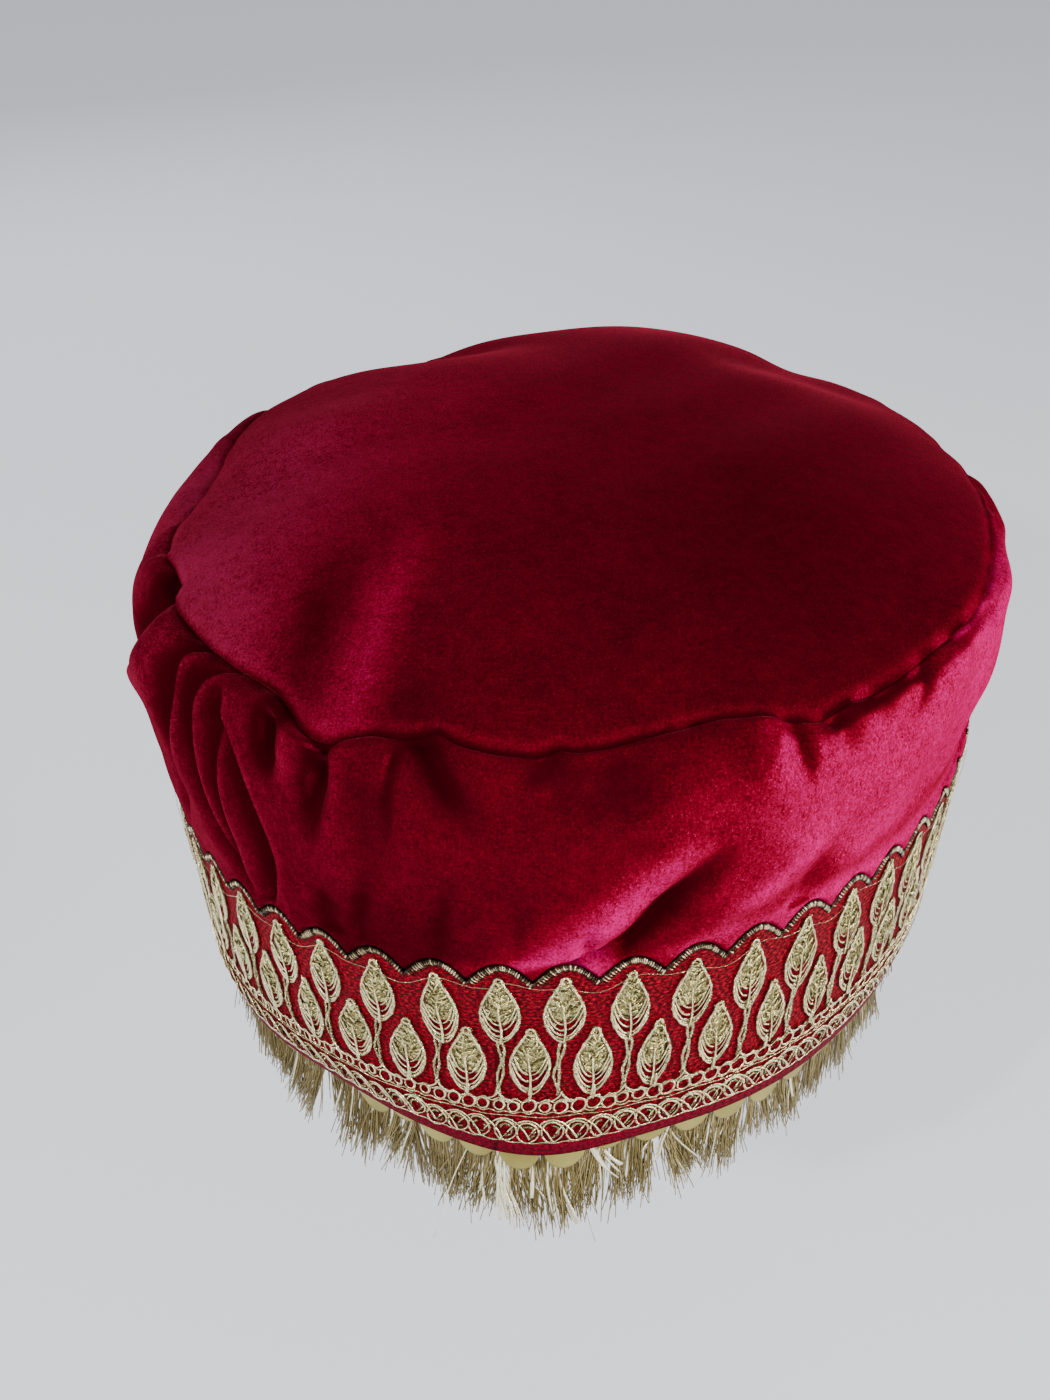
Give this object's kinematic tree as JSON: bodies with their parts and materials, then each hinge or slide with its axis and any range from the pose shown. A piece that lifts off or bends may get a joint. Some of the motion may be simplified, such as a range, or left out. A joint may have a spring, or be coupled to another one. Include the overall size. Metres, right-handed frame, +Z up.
{
  "type": "embroidered velvet cap",
  "caption": "Soft round velvet cap with a flat top panel, a gathered side panel, a scalloped leaf-embroidered band, hanging metal discs and a thread fringe.",
  "frame": {"origin": "middle of the head opening, level with the lower edge of the band", "axes": "+Z up through the crown, -Y to the front of the cap, +X to the right as seen from the front"},
  "size_m": [0.1771, 0.2041, 0.1141],
  "materials": {
    "velvet": "crimson silk velvet with a pink sheen",
    "red_trim": "woven red ribbon ground",
    "gold_disc": "matte olive gold",
    "gold_thread": "pale gold metal-wrapped thread"
  },
  "bodies": {
    "root": {"crown_top": "velvet", "crown_side": "velvet", "embroidered_band": "red_trim", "disc_row": "gold_disc", "thread_fringe": "gold_thread"}
  },
  "joints": []
}
